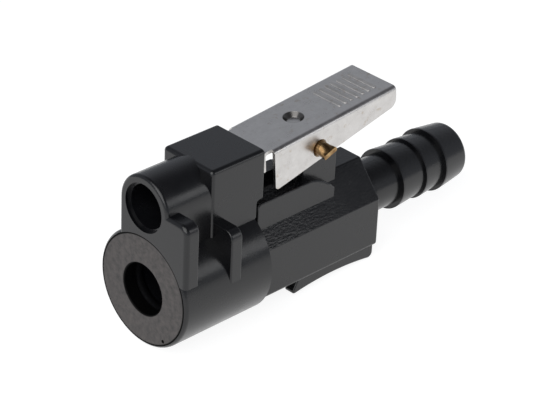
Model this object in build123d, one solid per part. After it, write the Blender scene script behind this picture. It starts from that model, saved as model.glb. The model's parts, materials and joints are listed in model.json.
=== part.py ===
from build123d import *
import os
from math import acos, atan2, cos, degrees, hypot, radians, sin

# Quick disconnect coupling for a fuel hose, female half.
# Millimetres. +X runs along the tube axis from the port face (x = 0) to the hose barb, +Z is up,
# where the latch lever is, and the key plates stand on the -Y side.
# The origin is the centre of the port face on the tube axis.

margin = 1.0                 # how far a cut or a join runs past the face it meets
near = 0.01                  # slack for picking faces and edges by their place

# ---- head and port ----
head_radius = 12.0
head_length = 22.3
head_rim_fillet = 1.0
port_radius = 5.3
port_depth = 14.5            # from the port face to the seat web
retainer_radius = 11.35
retainer_inset = 0.1
retainer_thickness = 2.8
retainer_gap = 0.12          # dark line round the disc
port_chamfer = 0.25
witness_radius = 0.35        # small moulding mark in the disc
witness_depth = 0.3
witness_place = (-5.9, -8.8)
seal_section = 2.0           # nipple seal, thickness of the ring
seal_bite = 0.2              # how far the seal stands into the port
gland_slack = 0.6            # the gland is longer than the seal by this
gland_clearance = 0.05       # the gland is wider than the seal by this

# ---- valve ----
web_thickness = 2.5
seat_radius = 3.8
chamber_radius = 6.2
poppet_radius = 5.2
poppet_thickness = 2.8
poppet_fillet = 0.5
nose_radius = 3.3
nose_inset = 0.3             # nose stops this far behind the web's front
poppet_seal_section = 1.2
poppet_seal_radius = 4.55
seat_gap = 0.1               # poppet seal to web
stem_radius = 1.5
stem_clearance = 0.08
stem_overrun = 2.0
valve_spring_wire = 0.6
valve_spring_radius = 3.4
valve_spring_turns = 5
valve_spring_play = 0.02     # at either end of the spring
guide_thickness = 2.0
guide_hole_radius = 1.15
guide_hole_pitch = 4.1
guide_hole_count = 6
chamber_setback = 9.7        # of its rear end, behind the head
passage_taper = 3.2

# ---- guide tube, block and key plates ----
guide_height = 17.65
guide_radius = 4.5
guide_mouth_radius = 5.0
guide_mouth_depth = 1.0
guide_tube_radius = 6.55
guide_tube_fillet = 0.7
plate_edge = 11.9            # outer face of both key plates
front_plate_thickness = 3.2
front_plate_bottom = 5.2
front_plate_top = 18.5
front_plate_rounding = 0.9   # of its front edges
second_plate_front = 11.5
second_plate_thickness = 2.8
second_plate_bottom = 2.2
second_plate_top = 13.1
plate_corner = 2.0
plate_rounding = 0.35
block_front = 10.8
block_overhang = 2.1         # behind the head
block_half_width = 6.8
block_top = 24.1
block_shoulder = 0.9         # radius along its top
block_front_rounding = 0.8
block_rear_rounding = 0.4
block_step_fillet = 0.8
block_step = 13.8            # height of the step under the block's rear end
block_foot_overhang = 0.25   # behind the head, under the step
block_foot_gap = 0.15        # of that overhang to the top of the rear moulding

# ---- body ----
body_length = 33.1           # behind the head
body_half_width = 8.66
body_bottom = -7.9
body_side_top = 2.75
body_top = 9.93
body_top_half_width = 2.7
body_fillet = 0.8
body_end_fillet = 0.5
slope_rounding = 0.4
spigot_radius = 8.2
rail_outer = 5.9
rail_setback = 1.6           # behind the head
rail_top = 11.8
rail_straight = 14.4         # length of its straight top
rail_tail_length = 6.8
rail_tail_height = 8.0
rail_sag = 0.55              # how far the tail bulges over its chord
rail_corner = 1.0
rail_rounding = 0.4
ear_outer = 4.0
ear_inner = 2.5
ear_rear_reach = 7.37        # behind the pin
ear_rear_drop = 1.5          # the ear's rear top below the pin's centre
ear_crown = 0.4              # level top of the ear, behind the pin's centre
ear_front_reach = 1.73       # ahead of the pin
ear_corner = 1.5
ear_rounding = 0.3
boss_radius = 2.8
stop_gap = 0.1               # lever at rest to the ears' front and to the bosses
skirt_outer = 8.2
skirt_thickness = 2.2
skirt_setback = 9.5          # behind the head
skirt_rear_inset = 0.6       # ahead of the body's end
skirt_bottom = -10.8
skirt_arch = 1.0             # rise of the finger rest between the skirt's ends
skirt_lean = 2.2             # the skirt's front leans back by this much at its root
skirt_rear_corner = 1.2
skirt_front_corner = 0.6
skirt_rounding = 0.4

# ---- hose barb ----
barb_bore_radius = 3.5
neck_radius = 5.5
neck_length = 7.0            # behind the collar
collar_radius = 6.1
collar_length = 2.6          # behind the body
collar_chamfer = 0.3
ridge_lengths = (6.8, 5.6, 7.2)
ridge_crests = (6.45, 6.5, 6.8)
ridge_roots = (5.95, 6.0, 5.95)
ridge_land = 0.4
barb_nose_fillet = 1.0

# ---- latch lever (its own frame starts at the pin, x along the sheet) ----
pin_setback = 17.33          # behind the head
pin_z = 18.89
pin_radius = 1.5
pin_running_fit = 0.05
pin_hole_chamfer = 0.3
lever_pitch = 4.9            # degrees, rising to the rear
sheet = 0.7
lever_top = 4.66             # pin centre to the top face, square to the sheet
lever_half_width = 6.35
bend_radius = 0.9
lever_rear = 21.2
flange_front = -11.95
flange_front_drop = -4.2
flange_rear_drop = 0.45
flange_front_corner = 0.8
flange_rear_corner = 1.8
hook_front = -14.2
hook_half_width = 5.4
hook_tip = 0.4
hook_bend_radius = 1.1
catch_depth = 1.65           # how far the catch reaches below the top of the mate's guide pin
catch_radius = 4.6
guide_pin_radius = 4.3       # of the mate, whose groove the catch drops into
dimple_place = -0.85
dimple_radius = 2.1
dimple_floor_radius = 1.35
dimple_depth = 0.9
dimple_wall = 0.2            # the dimple's outer cone is wider than its inner one by this
grip_first = 8.4
grip_pitch = 1.6
grip_count = 7
grip_length = 7.6
grip_width = 0.9
grip_height = 0.14
grip_rounding = 0.13

# ---- cross pin and its spring ----
pin_tail_start = 7.3
pin_tail_length = 1.9
pin_tail_width = 3.4
pin_tail_thickness = 1.0
pin_tail_corner = 0.3
pin_tail_turn = 20.0         # degrees, the pinched end about the pin's axis
pin_head_radius = 2.3
pin_head_thickness = 0.9
pin_head_fillet = 0.5
latch_wire = 0.6
latch_coil_radius = 2.15
latch_coil_pitch = 0.64
latch_turns = 4
leg_lower_reach = 7.4
leg_upper_reach = 8.2
leg_gap = 0.15               # spring legs to the body and to the lever

# ---- derived places ----
seat_front = port_depth
block_rear = head_length + block_overhang
block_foot = head_length + block_foot_overhang
block_foot_bottom = body_top + block_foot_gap
body_end = head_length + body_length
rail_front = head_length + rail_setback
rail_crown = rail_front + rail_straight
rail_tail = rail_crown + rail_tail_length
pin_x = head_length + pin_setback
ear_front = pin_x - ear_front_reach
ear_rear = pin_x + ear_rear_reach
skirt_front = head_length + skirt_setback
skirt_rear = body_end - skirt_rear_inset
collar_end = body_end + collar_length
ridge_start = collar_end + neck_length
barb_end = ridge_start + sum(ridge_lengths)
chamber_end = head_length + chamber_setback
seat_rear = port_depth + web_thickness
gland_front = retainer_inset + retainer_thickness
gland_length = seal_section + gland_slack
seal_inner = port_radius - seal_bite
gland_radius = seal_inner + seal_section + gland_clearance
guide_front = chamber_end - guide_thickness
poppet_front = seat_rear + seat_gap + poppet_seal_section / 2
poppet_rear = poppet_front + poppet_thickness
stem_end = chamber_end + stem_overrun
skirt_inner = skirt_outer - skirt_thickness
lever_inner = lever_half_width - sheet
lever_under = lever_top - sheet


def rod_x(radius, start, end, y=0.0, z=0.0):
    """Round bar along X."""
    bar = Cylinder(radius, end - start, align=(Align.CENTER, Align.CENTER, Align.MIN))
    return Pos(start, y, z) * Rot(0, 90, 0) * bar


def rod_y(radius, start, end, x, z):
    """Round bar along Y."""
    bar = Cylinder(radius, end - start, align=(Align.CENTER, Align.CENTER, Align.MIN))
    return Pos(x, start, z) * Rot(-90, 0, 0) * bar


def block_of(x, y, z):
    """Box given by its lowest and highest coordinate on each axis."""
    size = (x[1] - x[0], y[1] - y[0], z[1] - z[0])
    return Pos(x[0], y[0], z[0]) * Box(*size, align=(Align.MIN, Align.MIN, Align.MIN))


def slab(face, start, end):
    """Face drawn in the XZ plane, made solid from y = start to y = end."""
    return Pos(0, end, 0) * extrude(Plane.XZ * face, end - start)


def rounded_slab(face, start, end, radius):
    """The same, with the rim of the outer face at y = end rounded."""
    solid = slab(face, start, end)
    return fillet(solid.edges().group_by(Axis.Y)[-1], radius)


def profile(points):
    """Closed face through the points, in the plane's own two coordinates."""
    return make_face(Polyline(*points, close=True))


def corners(face, places, radius):
    """The face with the corners nearest to the given places rounded."""
    chosen = [face.vertices().sort_by_distance((x, y, 0))[0] for x, y in places]
    return fillet(chosen, radius)


def both_sides(solid):
    """The solid and its mirror image across the middle plane."""
    return solid + mirror(solid, Plane.XZ)


# ---------------------------------------------------------------- front housing
def latch_block():
    """Block over the guide hole's rear; behind the head it overhangs."""
    face = profile([(-block_half_width, 0), (-block_half_width, block_top),
                    (block_half_width, block_top), (block_half_width, 0)])
    face = corners(face, [(-block_half_width, block_top), (block_half_width, block_top)], block_shoulder)
    block = Pos(block_front, 0, 0) * extrude(Plane.YZ * face, block_rear - block_front)
    for end, radius in ((0, block_front_rounding), (-1, block_rear_rounding)):
        rim = block.edges().group_by(Axis.X)[end]
        block = fillet([e for e in rim if e.center().Z > near], radius)
    side = profile([(block_front, 0), (block_front, block_top), (block_rear, block_top),
                    (block_rear, block_step), (block_foot, block_step), (block_foot, block_foot_bottom),
                    (head_length, block_foot_bottom), (head_length, 0)])
    side = corners(side, [(block_rear, block_step), (block_foot, block_step)], block_step_fillet)
    return block & slab(side, -block_half_width, block_half_width)


def guide_tube():
    """Tube for the mate's guide pin, its flanks run down into the head."""
    arch = Pos(0, guide_height) * Circle(guide_tube_radius)
    arch += Pos(0, guide_height / 2) * Rectangle(2 * guide_tube_radius, guide_height)
    tube = extrude(Plane.YZ * arch, block_front + margin)
    return fillet(tube.edges().group_by(Axis.X)[0], guide_tube_fillet)


def key_plate(start, thickness, bottom, top, front_rounding):
    """Plate on the -Y side of the head, its outer top corner and its rims rounded."""
    face = profile([(0, bottom), (-plate_edge, bottom), (-plate_edge, top), (0, top)])
    face = corners(face, [(-plate_edge, top)], plate_corner)
    plate = extrude(Plane.YZ * face, thickness)
    for side, radius in ((0, front_rounding), (-1, plate_rounding)):
        rim = plate.edges().group_by(Axis.X)[side]
        plate = fillet([e for e in rim if e.center().Z > bottom + near and e.center().Y < -near], radius)
    return Pos(start, 0, 0) * plate


def front_housing():
    head = rod_x(head_radius, 0, head_length)
    shell = fillet(head.edges().group_by(Axis.X)[0], head_rim_fillet) + guide_tube() + latch_block()
    shell += key_plate(0, front_plate_thickness, front_plate_bottom, front_plate_top, front_plate_rounding)
    shell += key_plate(second_plate_front, second_plate_thickness, second_plate_bottom, second_plate_top,
                       plate_rounding)
    shell -= rod_x(guide_radius, -margin, block_rear + margin, 0, guide_height)
    shell -= rod_x(guide_mouth_radius, -margin, guide_mouth_depth, 0, guide_height)
    shell -= rod_x(retainer_radius + retainer_gap, -margin, gland_front)
    shell -= rod_x(gland_radius, gland_front - margin, gland_front + gland_length)
    shell -= rod_x(port_radius, gland_front, seat_front)
    shell -= rod_x(seat_radius, seat_front - margin, seat_rear + margin)
    shell -= rod_x(spigot_radius, seat_rear, head_length + margin)
    return shell


# ---------------------------------------------------------------- port
def port_retainer():
    disc = rod_x(retainer_radius, retainer_inset, gland_front)
    disc -= rod_x(port_radius, 0, gland_front + margin)
    disc = chamfer(disc.edges().group_by(Axis.X)[0].sort_by(SortBy.RADIUS)[0], port_chamfer)
    mark = rod_x(witness_radius, 0, retainer_inset + witness_depth, *witness_place)
    return disc - mark


def ring_x(place, middle_radius, section):
    """Round-section ring about the tube axis."""
    return revolve(Plane.XZ * Pos(place, middle_radius) * Circle(section / 2), Axis.X)


def nipple_oring():
    return ring_x(gland_front + gland_length / 2, seal_inner + seal_section / 2, seal_section)


# ---------------------------------------------------------------- valve
def valve_poppet():
    nose = seat_front + nose_inset
    outline = profile([(nose, 0), (nose, nose_radius),
                       (poppet_front, nose_radius), (poppet_front, poppet_radius),
                       (poppet_rear, poppet_radius), (poppet_rear, stem_radius),
                       (stem_end, stem_radius), (stem_end, 0)])
    outline = corners(outline, [(nose, nose_radius), (poppet_rear, poppet_radius)], poppet_fillet)
    return revolve(Plane.XZ * outline, Axis.X) - poppet_oring()


def poppet_oring():
    return ring_x(poppet_front, poppet_seal_radius, poppet_seal_section)


def valve_spring():
    start = poppet_rear + valve_spring_wire / 2 + valve_spring_play
    end = guide_front - valve_spring_wire / 2 - valve_spring_play
    path = Helix(pitch=(end - start) / valve_spring_turns, height=end - start, radius=valve_spring_radius)
    section = Plane(path @ 0, z_dir=path % 0) * Circle(valve_spring_wire / 2)
    return Pos(start, 0, 0) * Rot(0, 90, 0) * sweep(section, path=path, is_frenet=True)


def spring_guide():
    disc = rod_x(chamber_radius, guide_front, chamber_end)
    disc -= rod_x(stem_radius + stem_clearance, guide_front - margin, chamber_end + margin)
    hole = rod_x(guide_hole_radius, guide_front - margin, chamber_end + margin, 0, guide_hole_pitch)
    for number in range(guide_hole_count):
        disc -= Rot(360 / guide_hole_count * number, 0, 0) * hole
    return disc


# ---------------------------------------------------------------- rear body
def body_section():
    """Section across the tube axis: upright sides, steep slopes and a narrow flat top."""
    foot = (body_half_width, body_bottom)
    half = [(body_top_half_width, body_top), (body_half_width, body_side_top), foot]
    outline = profile(half + [(-y, z) for y, z in reversed(half)])
    outline = corners(outline, [foot, (-foot[0], foot[1])], body_fillet)
    brow = [(body_top_half_width, body_top), (body_half_width, body_side_top)]
    return corners(outline, brow + [(-y, z) for y, z in brow], slope_rounding)


def rail():
    """Side rail on the slope: straight top, then a tail that falls in a gentle arc."""
    tail = SagittaArc((rail_crown, rail_top), (rail_tail, rail_tail_height), rail_sag)
    rest = Polyline((rail_tail, rail_tail_height), (rail_tail, 0), (rail_front, 0),
                    (rail_front, rail_top), (rail_crown, rail_top))
    face = corners(make_face(tail + rest), [(rail_front, rail_top)], rail_corner)
    return rounded_slab(face, ear_inner, rail_outer, rail_rounding)


def lever_place(x, z):
    """A point of the lever's own frame, in the part's frame."""
    turn = radians(lever_pitch)
    return pin_x + x * cos(turn) - z * sin(turn), pin_z + x * sin(turn) + z * cos(turn)


def ear():
    """Hinge ear: its front top carries the lever at rest, its rear falls away to let the lever tilt."""
    stop = lever_under - stop_gap
    crown = lever_place(ear_crown, stop)
    rear_top = (ear_rear, pin_z - ear_rear_drop)
    face = profile([(ear_front, 0), lever_place(ear_front - pin_x, stop), crown, rear_top, (ear_rear, 0)])
    face = corners(face, [rear_top, crown], ear_corner)
    web = rounded_slab(face, ear_inner, ear_outer, ear_rounding)
    return web + rod_y(boss_radius, ear_inner, lever_inner - stop_gap, pin_x, pin_z)


def skirt():
    """Skirt under one side of the body, its lower edge hollowed for a finger."""
    front, rear = (skirt_front, skirt_bottom), (skirt_rear, skirt_bottom)
    root = body_bottom + margin
    rest = SagittaArc(front, rear, skirt_arch)
    frame = Polyline(rear, (skirt_rear, root), (skirt_front + skirt_lean, root), front)
    face = corners(make_face(rest + frame), [rear], skirt_rear_corner)
    face = corners(face, [front], skirt_front_corner)
    return rounded_slab(face, skirt_inner, skirt_outer, skirt_rounding)


def hose_barb():
    """Turned outline of the barb: a collar, the neck, then ridges that step up and taper to the next."""
    inside = body_end - margin
    outline = [(inside, 0), (inside, collar_radius), (collar_end - collar_chamfer, collar_radius),
               (collar_end, collar_radius - collar_chamfer), (collar_end, neck_radius),
               (ridge_start, neck_radius)]
    start = ridge_start
    for length, crest, root in zip(ridge_lengths, ridge_crests, ridge_roots):
        outline += [(start, crest), (start + ridge_land, crest), (start + length, root)]
        start += length
    face = profile(outline + [(barb_end, 0)])
    face = corners(face, [(barb_end, ridge_roots[-1])], barb_nose_fillet)
    return revolve(Plane.XZ * face, Axis.X)


def rear_body():
    body = extrude(Plane.YZ * body_section(), body_end - head_length)
    body = Pos(head_length, 0, 0) * body
    body = fillet(body.edges().group_by(Axis.X)[-1], body_end_fillet)
    body += rod_x(spigot_radius, seat_rear, head_length)
    body += both_sides(rail() + ear() + skirt())
    body += hose_barb()
    body -= rod_x(chamber_radius, seat_rear - margin, chamber_end)
    cone_end = chamber_end + passage_taper
    cone = profile([(chamber_end, 0), (chamber_end, chamber_radius),
                    (cone_end, barb_bore_radius), (cone_end, 0)])
    body -= revolve(Plane.XZ * cone, Axis.X)
    body -= rod_x(barb_bore_radius, chamber_end, barb_end + margin)
    return body - rod_y(pin_radius, -lever_half_width, lever_half_width, pin_x, pin_z)


# ---------------------------------------------------------------- latch lever
def top_edges(solid, height, half_width):
    """The two long edges at this height and this far from the middle."""
    return [e for e in solid.edges()
            if e.center().Z > height - near and abs(e.center().Y) > half_width - near]


def lever_channel():
    """Folded channel in the lever's own frame: side outline, less the hollow of the channel."""
    side = profile([(flange_front, lever_top), (lever_rear, lever_top), (lever_rear, flange_rear_drop),
                    (flange_front, flange_front_drop)])
    side = corners(side, [(lever_rear, flange_rear_drop)], flange_rear_corner)
    side = corners(side, [(flange_front, flange_front_drop)], flange_front_corner)
    channel = slab(side, -lever_half_width, lever_half_width)
    channel = fillet(top_edges(channel, lever_top, lever_half_width), bend_radius)
    hollow = block_of((flange_front - margin, lever_rear + margin), (-lever_inner, lever_inner),
                      (flange_front_drop - margin, lever_under))
    return channel - fillet(top_edges(hollow, lever_under, lever_inner), bend_radius - sheet)


def hook_plate():
    """Tongue of the top, folded down at the front; its arched lower edge is the catch."""
    root = flange_front + margin
    inner = hook_front + sheet
    strip = profile([(root, lever_top), (hook_front, lever_top), (hook_front, hook_tip),
                     (inner, hook_tip), (inner, lever_under), (root, lever_under)])
    strip = corners(strip, [(hook_front, lever_top)], hook_bend_radius)
    strip = corners(strip, [(inner, lever_under)], hook_bend_radius - sheet)
    plate = slab(strip, -hook_half_width, hook_half_width)
    crown = guide_height + guide_pin_radius - catch_depth
    turn = radians(lever_pitch)
    arch_z = (crown - catch_radius - pin_z - hook_front * sin(turn)) / cos(turn)
    return plate - rod_x(catch_radius, hook_front - margin, inner + margin, 0, arch_z)


def dimple(depth_shift, growth):
    """Round pressed dimple of the lever's top, as a cone with its wide end on the sheet."""
    cone = Cone(dimple_floor_radius + growth, dimple_radius + growth, dimple_depth,
                align=(Align.CENTER, Align.CENTER, Align.MAX))
    return Pos(dimple_place, 0, lever_top - depth_shift) * cone


def grip_ribs():
    """Raised bars across the rear of the lever, for the thumb."""
    ribs = []
    for number in range(grip_count):
        bar = extrude(SlotOverall(grip_length, grip_width, rotation=90), grip_height + sheet / 2)
        bar = fillet(bar.edges().group_by(Axis.Z)[-1], grip_rounding)
        ribs.append(Pos(grip_first + grip_pitch * number, 0, lever_top - sheet / 2) * bar)
    return ribs


def latch_lever():
    lever = lever_channel() + hook_plate()
    lever += dimple(sheet, dimple_wall)
    lever -= dimple(0, 0)
    for rib in grip_ribs():
        lever += rib
    across = lever_half_width + margin
    hole_radius = pin_radius + pin_running_fit
    lever -= rod_y(hole_radius, -across, across, 0, 0)
    rims = lever.edges().filter_by(GeomType.CIRCLE).filter_by(lambda e: abs(e.radius - hole_radius) < near)
    lever = chamfer([e for e in rims if abs(e.center().Y) > lever_half_width - near], pin_hole_chamfer)
    return Pos(pin_x, 0, pin_z) * Rot(0, -lever_pitch, 0) * lever


# ---------------------------------------------------------------- cross pin and spring
def latch_pin():
    """Rivet-like pin: a round head on one side, the other end pinched flat."""
    head_seat = lever_half_width + stop_gap
    shank = rod_y(pin_radius, -pin_tail_start, head_seat, pin_x, pin_z)
    head = rod_y(pin_head_radius, head_seat, head_seat + pin_head_thickness, pin_x, pin_z)
    head = fillet(head.edges().group_by(Axis.Y)[-1], pin_head_fillet)
    round_end = Plane((pin_x, -pin_tail_start, pin_z), z_dir=(0, -1, 0)) * Circle(pin_radius)
    tip = Plane((pin_x, -pin_tail_start - pin_tail_length, pin_z), z_dir=(0, -1, 0))
    flat = RectangleRounded(pin_tail_thickness, pin_tail_width, pin_tail_corner)
    return shank + head + loft([round_end, tip * Rot(0, 0, pin_tail_turn) * flat])


def leg_length(tip):
    """From the coil to the leg's tip, along the tangent."""
    return (tip[0] ** 2 + tip[1] ** 2 - latch_coil_radius ** 2) ** 0.5


def latch_spring():
    """Torsion spring on the cross pin: one leg on the body's top, one under the lever."""
    low = (leg_lower_reach, body_top + latch_wire / 2 + leg_gap - pin_z)
    turn = radians(lever_pitch)
    under = lever_under - latch_wire / 2 - leg_gap
    high = (leg_upper_reach * cos(turn) - under * sin(turn), leg_upper_reach * sin(turn) + under * cos(turn))
    low_angle = atan2(low[1], low[0]) - acos(latch_coil_radius / hypot(*low))
    high_angle = atan2(high[1], high[0]) + acos(latch_coil_radius / hypot(*high))
    wrap = (degrees(low_angle - high_angle) % 360) + 360 * latch_turns
    height = latch_coil_pitch * wrap / 360
    coil = Helix(pitch=latch_coil_pitch, height=height, radius=latch_coil_radius)
    upper = Line(coil @ 0 - (coil % 0) * leg_length(high), coil @ 0)
    lower = Line(coil @ 1, coil @ 1 + (coil % 1) * leg_length(low))
    path = Wire([upper.edge(), coil.edge(), lower.edge()])
    spring = sweep(Plane(path @ 0, z_dir=path % 0) * Circle(latch_wire / 2), path=path)
    across = Plane((pin_x, height / 2, pin_z), x_dir=(1, 0, 0), z_dir=(0, -1, 0))
    return across * Rot(0, 0, degrees(high_angle)) * spring


PARTS = {
    "front_housing": front_housing,
    "port_retainer": port_retainer,
    "nipple_oring": nipple_oring,
    "valve_poppet": valve_poppet,
    "poppet_oring": poppet_oring,
    "valve_spring": valve_spring,
    "spring_guide": spring_guide,
    "rear_body": rear_body,
    "latch_lever": latch_lever,
    "latch_pin": latch_pin,
    "latch_spring": latch_spring,
}

os.makedirs("parts", exist_ok=True)
for name, make in PARTS.items():
    export_step(make(), f"parts/{name}.step")
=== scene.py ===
import json
from math import cos, radians, sin

import bpy
from mathutils import Matrix, Vector

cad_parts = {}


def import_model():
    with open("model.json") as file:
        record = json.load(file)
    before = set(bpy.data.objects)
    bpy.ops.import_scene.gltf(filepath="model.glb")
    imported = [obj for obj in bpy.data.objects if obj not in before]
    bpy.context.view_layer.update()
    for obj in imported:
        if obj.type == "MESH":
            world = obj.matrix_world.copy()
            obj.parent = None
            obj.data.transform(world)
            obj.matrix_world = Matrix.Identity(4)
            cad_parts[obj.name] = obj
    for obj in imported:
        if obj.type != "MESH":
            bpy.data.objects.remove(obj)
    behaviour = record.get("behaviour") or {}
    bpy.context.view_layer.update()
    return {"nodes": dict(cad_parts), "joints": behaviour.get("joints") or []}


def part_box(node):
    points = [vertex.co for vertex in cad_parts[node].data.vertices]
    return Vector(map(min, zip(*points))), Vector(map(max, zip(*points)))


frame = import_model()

# Looks of the fuel hose coupling. Metres, in the part's own frame: +X to the hose barb, +Z up.

# ---- camera, at the angle of the photograph ----
AZIMUTH = radians(-45.6)
ELEVATION = radians(30.3)
ROLL = radians(2.7)
DISTANCE = 0.4496
SIDEWAYS = 0.0249            # the part's origin lies this far left of the view's middle
UPWARDS = 0.0149             # and this far below it
LENS = 157.1                 # millimetres, and so is the sensor's width
SENSOR = 36.0

# ---- floor: it touches the head's rear rim and passes just under the skirts' ends ----
HEAD_REAR = 0.0223
FLOOR_UNDER_HEAD = Vector((HEAD_REAR, 0.0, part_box("front_housing")[0].z))
FLOOR_UNDER_SKIRT = Vector((0.0535, 0.0, -0.0108))
FLOOR_HALF_SIZE = 0.32
FLOOR_GLOW = 0.88            # seen by the camera and in reflections only
FLOOR_MOTTLING = 3           # patches to a metre
FLOOR_DARK = (0.30, 0.30, 0.30)
FLOOR_LIGHT = (0.32, 0.32, 0.32)

# ---- surroundings, by the sine of their height and a share of how far they lie to -Y ----
WALL = (0.41, 0.43, 0.47)
WALL_TOP = 0.45
CEILING = (0.08, 0.08, 0.09)
CEILING_START = 0.82
DIM_SIDE = 0.25
WHITE = (1, 1, 1)

# ---- lamps: place, width and power in watts, all aimed at one point ----
LAMPS = {"key": (Vector((-0.6, -0.25, 0.55)), 0.9, 6.0),
         "right": (Vector((0.110, -0.128, 0.062)), 0.05, 0.013)}
LAMPS_AIM = Vector((0.04, 0.0, 0.0))

# ---- painted shade on the disc in the port: round its hole and along its rim; its small mark is dark too ----
ACROSS_TUBE = (0, 1, 1)      # with X left out, distances are square to the tube's axis
TUBE_AXIS = (0, 0, 0)
HOLE_SHADE_END = 0.00560     # from the tube's axis
RIM_SHADE_WIDTH = 0.00031
RIM_SHADE_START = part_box("port_retainer")[1].z - RIM_SHADE_WIDTH
MARK = (0.0, -0.0059, -0.0088)
MARK_EDGE = (0.00034, 0.00042)
SHADE_FADE = 0.00015         # painted shade sets in over this width

# ---- the lever: its top face rises to the rear and passes over the pivot ----
JOINTS = {joint["name"]: joint for joint in frame["joints"]}
LEVER_PIVOT = Vector(JOINTS["latch_pivot"]["pos_m"])
LEVER_PITCH = radians(4.9)
LEVER_ALONG = Vector((cos(LEVER_PITCH), 0.0, sin(LEVER_PITCH)))
LEVER_UP = Vector((-sin(LEVER_PITCH), 0.0, cos(LEVER_PITCH)))
LEVER_TOP = 0.00466          # pivot to the top face, square to it
TOP_FACE = LEVER_PIVOT.dot(LEVER_UP) + LEVER_TOP  # origin to the top face, square to it

# ---- the lever's dimple: its middle at the top face, and how far from there its wall lies ----
DIMPLE_PLACE = -0.00085      # along the lever from its pivot
DIMPLE = LEVER_PIVOT + DIMPLE_PLACE * LEVER_ALONG + LEVER_TOP * LEVER_UP
DIMPLE_WALL = (0.00165, 0.00205)

# ---- the lever's grip ribs: they turn matt as they rise out of the top face ----
RIB_FLANK = (TOP_FACE + 0.000014, TOP_FACE + 0.000044)
RIB_MATT = 0.3               # added to the sheet's roughness

# ---- grain of the mouldings ----
GRAIN_SCALE = 2600           # patches to a metre
GRAIN_DEPTH = 0.00003
GRAIN_STRENGTH = 0.35

# ---- ripple on the rear moulding's slopes ----
RIPPLE_SCALE = 2500
RIPPLE_STRETCH = (0.45, 1.0, 1.0)
RIPPLE_DEPTH = 0.00012
RIPPLE_SLOPE = (0.45, 0.6)   # it sets in between these, 1 being a level face
RIPPLE_FADE = (0.026, 0.050)  # and weakens between these places along X
RIPPLE_STRONGEST = 0.8
RIPPLE_WEAKEST = 0.3

# ---- specular level: dull for rubber and for the painted shade on the disc, plain for the rest of the plastic ----
DULL = 0.05
PLAIN = 0.5

# ---- colours ----
BLACK = (0.0038, 0.0040, 0.0050)
BLACK_WORN = (0.0065, 0.0067, 0.0078)
RING_DARK = (0.013, 0.011, 0.011)
RING_LIGHT = (0.100, 0.088, 0.083)
# painted shade round the disc's hole and along its rim, and the dark of its small mark
RING_SHADE_AND_MARK = (0.002, 0.002, 0.002)
RUBBER = (0.002, 0.002, 0.002)
STEEL_DARK = (0.52, 0.505, 0.49)
STEEL_LIGHT = (0.66, 0.645, 0.63)
STAIN = (0.42, 0.36, 0.29)
# painted shade on the dimple's wall, which also dims its highlight
DIMPLE_PAINTED_SHADE = (0.12, 0.115, 0.11)
BRASS_DARK = (0.12, 0.055, 0.022)
BRASS_LIGHT = (0.50, 0.34, 0.16)
WIRE = (0.46, 0.46, 0.48)


# ------------------------------------------------------------------ node helpers
class Nodes:
    """A node tree under construction."""

    def __init__(self, tree):
        self.tree = tree

    def feed(self, socket, value):
        """Links the input to another node's socket, or sets it to a number, a vector or a colour."""
        if isinstance(value, bpy.types.NodeSocket):
            self.tree.links.new(value, socket)
        elif socket.type == "RGBA":
            socket.default_value = (*value, 1)
        else:
            socket.default_value = value

    def node(self, kind, inputs=None, **settings):
        """New node with these settings, its inputs fed by name or number."""
        made = self.tree.nodes.new(kind)
        for setting, value in settings.items():
            setattr(made, setting, value)
        for socket, value in (inputs or {}).items():
            self.feed(made.inputs[socket], value)
        return made

    def math(self, operation, *values):
        """Result of the operation on numbers or sockets."""
        return self.node("ShaderNodeMath", dict(enumerate(values)), operation=operation).outputs["Value"]

    def coordinates(self, vector):
        """The vector's X, Y and Z by name."""
        return self.node("ShaderNodeSeparateXYZ", {"Vector": vector}).outputs

    def ramp(self, value, low, high, start=0.3, end=0.7):
        """Colour from low to high as value goes from start to end."""
        made = self.node("ShaderNodeValToRGB", {"Fac": value})
        for element, place, colour in zip(made.color_ramp.elements, (start, end), (low, high)):
            element.position = place
            element.color = (*colour, 1)
        return made.outputs["Color"]

    def between(self, value, low, high, start=0.3, end=0.7):
        """Number from low to high as value goes from start to end."""
        inputs = {"Value": value, "From Min": start, "From Max": end, "To Min": low, "To Max": high}
        return self.node("ShaderNodeMapRange", inputs).outputs["Result"]

    def band(self, value, start, end, blur):
        """1 where value lies from start to end, fading to 0 over blur on either side of them."""
        rising = self.between(value, 0.0, 1.0, start=start - blur, end=start)
        falling = self.between(value, 1.0, 0.0, start=end, end=end + blur)
        return self.math("MULTIPLY", rising, falling)

    def mix(self, factor, low, high):
        """Colour from low to high as factor goes from 0 to 1."""
        inputs = {"Factor": factor, "A": low, "B": high}
        return self.node("ShaderNodeMix", inputs, data_type="RGBA").outputs["Result"]

    def seen_rays(self, first, *others):
        """1 on rays of these kinds and 0 on others."""
        path = self.node("ShaderNodeLightPath")
        total = path.outputs[first]
        for kind in others:
            total = self.math("MAXIMUM", total, path.outputs[kind])
        return total


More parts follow.
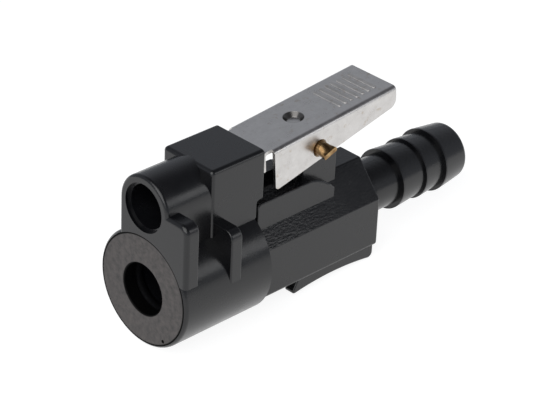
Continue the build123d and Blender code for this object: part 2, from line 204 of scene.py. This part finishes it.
class Look(Nodes):
    """A node material under construction: a Principled shader and what feeds it."""

    def __init__(self, name, **sockets):
        self.material = bpy.data.materials.new(name)
        self.material.use_nodes = True
        super().__init__(self.material.node_tree)
        self.shader = self.tree.nodes["Principled BSDF"]
        for socket, value in sockets.items():
            self.set(socket.replace("_", " "), value)

    def set(self, socket, value):
        """Feeds one of the shader's inputs."""
        self.feed(self.shader.inputs[socket], value)

    def place(self, stretch=(1, 1, 1)):
        """Position on the part, its coordinates multiplied by stretch."""
        position = self.node("ShaderNodeTexCoord").outputs["Object"]
        return self.node("ShaderNodeMapping", {"Vector": position, "Scale": stretch}).outputs["Vector"]

    def noise(self, scale, detail=3.0, roughness=0.6, stretch=(1, 1, 1)):
        """Cloudy numbers from 0 to 1, about scale patches to a metre."""
        inputs = {"Vector": self.place(stretch), "Scale": scale, "Detail": detail, "Roughness": roughness}
        return self.node("ShaderNodeTexNoise", inputs).outputs["Fac"]

    def reach(self, point, stretch=(1, 1, 1)):
        """Distance from the point to the place."""
        inputs = {0: self.place(stretch), 1: point}
        return self.node("ShaderNodeVectorMath", inputs, operation="DISTANCE").outputs["Value"]

    def along(self, direction):
        """How far the place lies from the part's origin along the direction."""
        inputs = {0: self.place(), 1: direction}
        return self.node("ShaderNodeVectorMath", inputs, operation="DOT_PRODUCT").outputs["Value"]

    def facing_up(self):
        """How far the surface faces up: 1 where it is level, 0 where it is upright."""
        return self.coordinates(self.node("ShaderNodeTexCoord").outputs["Normal"])["Z"]

    def mottle(self, cloud, dark, light, smooth, rough):
        """Colour from dark to light and roughness from smooth to rough, both as the cloud goes."""
        self.set("Base Color", self.ramp(cloud, dark, light))
        self.set("Roughness", self.between(cloud, smooth, rough))

    def relief(self, height, depth, strength=1.0):
        """Bumps on the surface, over any relief that it has already."""
        inputs = {"Height": height, "Distance": depth, "Strength": strength}
        for earlier in self.shader.inputs["Normal"].links:
            inputs["Normal"] = earlier.from_socket
        self.set("Normal", self.node("ShaderNodeBump", inputs).outputs["Normal"])

    def grain(self):
        """Fine grain of a moulded surface."""
        self.relief(self.noise(GRAIN_SCALE, detail=2), GRAIN_DEPTH, GRAIN_STRENGTH)


# ------------------------------------------------------------------ materials
def moulded_plastic(name):
    """Satin moulded plastic: a fine grain, slow cloudy changes of gloss."""
    look = Look(name)
    look.mottle(look.noise(220, detail=4), BLACK, BLACK_WORN, smooth=0.20, rough=0.29)
    look.grain()
    return look


def textured_plastic():
    """The rear moulding: smooth sides, a rippled spark-eroded texture on the sloping faces."""
    look = moulded_plastic("textured_plastic")
    ripple = look.noise(RIPPLE_SCALE, detail=2, roughness=0.5, stretch=RIPPLE_STRETCH)
    slope = look.between(look.facing_up(), 0.0, 1.0, *RIPPLE_SLOPE)
    fading = look.between(look.along((1, 0, 0)), RIPPLE_STRONGEST, RIPPLE_WEAKEST, *RIPPLE_FADE)
    look.relief(ripple, RIPPLE_DEPTH, look.math("MULTIPLY", slope, fading))
    return look


def ring_plastic():
    """The disc in the port: brownish grey, matte and mottled, with painted shade round its hole and along
    its rim, and dark in its small mark.
    """
    look = Look("ring_plastic")
    cloud = look.noise(800, detail=5, roughness=0.65)
    radius = look.reach(TUBE_AXIS, ACROSS_TUBE)
    face = look.band(radius, HOLE_SHADE_END, RIM_SHADE_START, SHADE_FADE)
    past_mark = look.between(look.reach(MARK, ACROSS_TUBE), 0.0, 1.0, *MARK_EDGE)
    # painted shade: dark and dull round the hole and along the rim; the small mark is dark and dull too
    outside_shade_and_mark = look.math("MULTIPLY", face, past_mark)
    look.set("Base Color", look.mix(outside_shade_and_mark, RING_SHADE_AND_MARK, look.ramp(cloud, RING_DARK, RING_LIGHT)))
    look.set("Specular IOR Level", look.between(outside_shade_and_mark, DULL, PLAIN, start=0.0, end=1.0))
    look.set("Roughness", look.between(cloud, 0.44, 0.56))
    look.grain()
    return look


def seal_rubber():
    """Seals, dull in their grooves."""
    look = Look("seal_rubber", Specular_IOR_Level=DULL)
    look.mottle(look.noise(1800, detail=3), BLACK, RUBBER, smooth=0.6, rough=0.75)
    return look


def satin_steel():
    """Rolled stainless sheet: fine lines along it, faint mottling, matt ribs, painted shade on the
    dimple's wall.
    """
    look = Look("satin_steel", Metallic=1.0)
    cloud = look.noise(420, detail=6, roughness=0.7)
    stain = look.between(look.noise(700, detail=4), 0.0, 0.7, start=0.60, end=0.72)
    steel = look.mix(stain, look.ramp(cloud, STEEL_DARK, STEEL_LIGHT), STAIN)
    # painted shade darkens the dimple's wall and dims its highlight
    wall = look.band(look.reach(DIMPLE), *DIMPLE_WALL, SHADE_FADE)
    look.set("Base Color", look.mix(wall, steel, DIMPLE_PAINTED_SHADE))
    ribs = look.between(look.along(LEVER_UP), 0.0, RIB_MATT, *RIB_FLANK)
    look.set("Roughness", look.math("ADD", look.between(cloud, 0.25, 0.37), ribs))
    lines = look.noise(1400, detail=4, stretch=(0.06, 1.0, 1.0))
    look.relief(lines, depth=0.00001, strength=0.3)
    return look


def drawn_brass():
    """The cross pin: drawing lines along it, tarnished in places."""
    look = Look("drawn_brass", Metallic=1.0)
    lines = look.noise(900, detail=3, stretch=(1.0, 0.15, 1.0))
    look.mottle(lines, BRASS_DARK, BRASS_LIGHT, smooth=0.2, rough=0.34)
    look.relief(lines, depth=0.00003, strength=0.4)
    return look


def spring_wire():
    """Drawn steel wire of both springs."""
    look = Look("spring_wire", Metallic=1.0)
    look.mottle(look.noise(2400, detail=2), WIRE, STEEL_LIGHT, smooth=0.28, rough=0.4)
    return look


def dress(look, *nodes):
    """Gives the material to these CAD nodes."""
    for name in nodes:
        mesh = frame["nodes"][name].data
        mesh.materials.clear()
        mesh.materials.append(look.material)


# ------------------------------------------------------------------ floor, light and camera
def add_to_scene(name, data):
    """New object of this name that holds the mesh, lamp or camera."""
    holder = bpy.data.objects.new(name, data)
    bpy.context.collection.objects.link(holder)
    return holder


def floor():
    """White floor through its two lines under the part."""
    along = (FLOOR_UNDER_SKIRT - FLOOR_UNDER_HEAD).normalized()
    across = Vector((0, 1, 0))
    mesh = bpy.data.meshes.new("floor")
    corners = [FLOOR_UNDER_HEAD + FLOOR_HALF_SIZE * (a * along + b * across)
               for a, b in ((-1, -1), (1, -1), (1, 1), (-1, 1))]
    mesh.from_pydata(corners, [], [(0, 1, 2, 3)])
    look = Look("floor_white", Roughness=0.9, Emission_Color=WHITE)
    look.set("Base Color", look.ramp(look.noise(FLOOR_MOTTLING), FLOOR_DARK, FLOOR_LIGHT))
    seen = look.seen_rays("Is Camera Ray", "Is Glossy Ray", "Is Transmission Ray")
    look.set("Emission Strength", look.between(seen, 0.0, FLOOR_GLOW, start=0.0, end=1.0))
    mesh.materials.append(look.material)
    add_to_scene("floor", mesh)


def world():
    """A dim room, darker overhead; the camera sees white in its place."""
    sky = bpy.data.worlds.new("sky")
    bpy.context.scene.world = sky
    sky.use_nodes = True
    room = Nodes(sky.node_tree)
    way = room.coordinates(room.node("ShaderNodeTexCoord").outputs["Generated"])
    height = room.math("MULTIPLY_ADD", way["Y"], -DIM_SIDE, way["Z"])
    shade = room.ramp(height, WALL, CEILING, start=WALL_TOP, end=CEILING_START)
    backdrop = room.mix(room.seen_rays("Is Camera Ray"), shade, WHITE)
    room.feed(sky.node_tree.nodes["Background"].inputs["Color"], backdrop)


def softbox(name, place, width, power):
    """Square area lamp aimed at the part."""
    lamp = bpy.data.lights.new(name, "AREA")
    lamp.energy = power
    lamp.size = width
    holder = add_to_scene(name, lamp)
    holder.location = place
    holder.rotation_euler = (LAMPS_AIM - place).to_track_quat("-Z", "Y").to_euler()


def camera():
    """Camera at its distance from the origin, rolled, then slid in its own plane."""
    right = Vector((cos(AZIMUTH), sin(AZIMUTH), 0))
    back = Vector((sin(AZIMUTH) * cos(ELEVATION), -cos(AZIMUTH) * cos(ELEVATION), sin(ELEVATION)))
    up = back.cross(right)
    right, up = cos(ROLL) * right + sin(ROLL) * up, cos(ROLL) * up - sin(ROLL) * right
    place = SIDEWAYS * right + UPWARDS * up + DISTANCE * back
    lens = bpy.data.cameras.new("camera")
    lens.lens = LENS
    lens.sensor_width = SENSOR
    holder = add_to_scene("camera", lens)
    axes = Matrix((right, up, back)).transposed()
    holder.matrix_world = Matrix.Translation(place) @ axes.to_4x4()
    bpy.context.scene.camera = holder


dress(moulded_plastic("housing_plastic"), "front_housing")
dress(textured_plastic(), "rear_body")
dress(ring_plastic(), "port_retainer")
dress(moulded_plastic("valve_plastic"), "valve_poppet", "spring_guide")
dress(seal_rubber(), "nipple_oring", "poppet_oring")
dress(satin_steel(), "latch_lever")
dress(drawn_brass(), "latch_pin")
dress(spring_wire(), "valve_spring", "latch_spring")
floor()
world()
for lamp_name, settings in LAMPS.items():
    softbox(lamp_name, *settings)
camera()
bpy.context.scene.view_settings.view_transform = "Standard"
